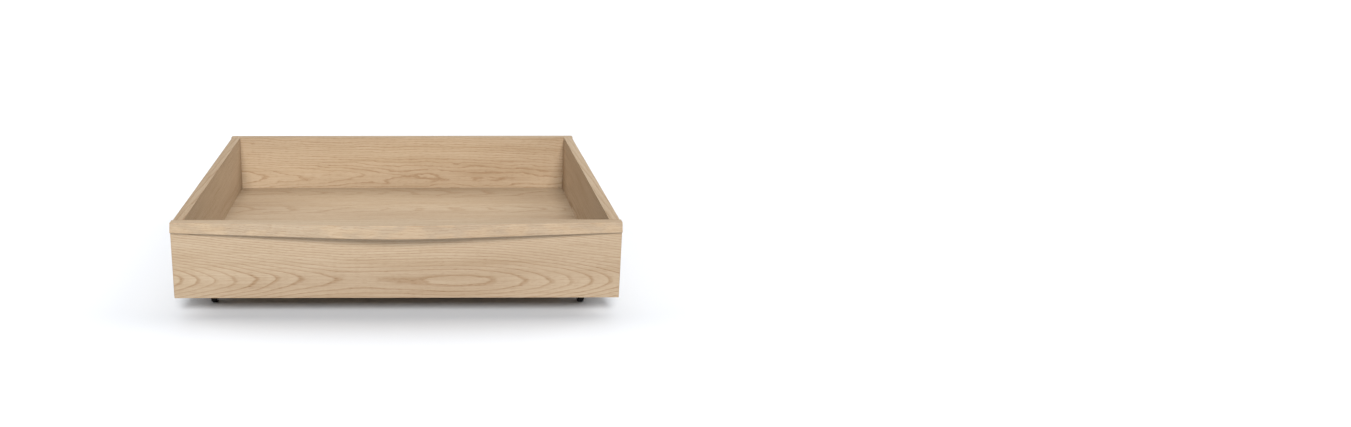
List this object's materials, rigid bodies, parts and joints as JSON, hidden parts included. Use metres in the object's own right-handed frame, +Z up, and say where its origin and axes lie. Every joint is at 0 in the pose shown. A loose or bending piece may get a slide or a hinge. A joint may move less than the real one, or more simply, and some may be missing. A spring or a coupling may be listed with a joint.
{
  "type": "rolling under-bed storage drawer",
  "caption": "Low open wooden storage drawer with a bowed pull rail along the front, rolling on small fixed casters under a bed.",
  "frame": {"origin": "on the floor under the middle of the drawer's overall box, the pull rail included", "axes": "+X to the drawer's right-hand side seen from the front, +Y towards the back panel, +Z up; the pull rail faces -Y"},
  "size_m": [0.7874, 0.7112, 0.1778],
  "materials": {
    "oak_board": "matt clear lacquer over oak veneer",
    "oak_solid": "matt clear lacquer on solid oak",
    "oak_band": "matt clear lacquer on solid oak edge band",
    "beech_dowel": "raw beech",
    "screw_steel": "zinc plated",
    "zinc_sheet": "bright zinc plated sheet",
    "axle_steel": "plated steel rivet",
    "wheel_hub": "grey moulded plastic",
    "wheel_tyre": "black rubber"
  },
  "bodies": {
    "drawer": {"front_panel": "oak_board", "pull_rail": "oak_solid", "pull_rail_dowels": "beech_dowel", "back_panel": "oak_board", "back_top_band": "oak_band", "bottom_board": "oak_board", "front_joint_dowels": "beech_dowel", "back_joint_dowels": "beech_dowel", "bottom_front_dowels": "beech_dowel", "bottom_back_dowels": "beech_dowel", "side_panel_left": "oak_board", "side_top_band_left": "oak_band", "bottom_edge_band_left": "oak_band", "front_end_band_left": "oak_band", "back_end_band_left": "oak_band", "side_screws_left": "screw_steel", "side_panel_right": "oak_board", "side_top_band_right": "oak_band", "bottom_edge_band_right": "oak_band", "front_end_band_right": "oak_band", "back_end_band_right": "oak_band", "side_screws_right": "screw_steel", "caster_bracket_front_left": "zinc_sheet", "caster_axle_front_left": "axle_steel", "caster_screws_front_left": "screw_steel", "caster_bracket_front_right": "zinc_sheet", "caster_axle_front_right": "axle_steel", "caster_screws_front_right": "screw_steel", "caster_bracket_rear_left": "zinc_sheet", "caster_axle_rear_left": "axle_steel", "caster_screws_rear_left": "screw_steel", "caster_bracket_rear_right": "zinc_sheet", "caster_axle_rear_right": "axle_steel", "caster_screws_rear_right": "screw_steel"},
    "wheel_front_left": {"wheel_hub_front_left": "wheel_hub", "wheel_tyre_front_left": "wheel_tyre"},
    "wheel_front_right": {"wheel_hub_front_right": "wheel_hub", "wheel_tyre_front_right": "wheel_tyre"},
    "wheel_rear_left": {"wheel_hub_rear_left": "wheel_hub", "wheel_tyre_rear_left": "wheel_tyre"},
    "wheel_rear_right": {"wheel_hub_rear_right": "wheel_hub", "wheel_tyre_rear_right": "wheel_tyre"}
  },
  "joints": [
    {"name": "roll_front_left", "type": "hinge", "parent": "drawer", "child": "wheel_front_left", "pos_m": [-0.3376, -0.24719, 0.0127], "axis": [1, 0, 0], "continuous": true},
    {"name": "roll_front_right", "type": "hinge", "parent": "drawer", "child": "wheel_front_right", "pos_m": [0.3376, -0.24719, 0.0127], "axis": [1, 0, 0], "continuous": true},
    {"name": "roll_rear_left", "type": "hinge", "parent": "drawer", "child": "wheel_rear_left", "pos_m": [-0.3376, 0.2686, 0.0127], "axis": [1, 0, 0], "continuous": true},
    {"name": "roll_rear_right", "type": "hinge", "parent": "drawer", "child": "wheel_rear_right", "pos_m": [0.3376, 0.2686, 0.0127], "axis": [1, 0, 0], "continuous": true}
  ]
}
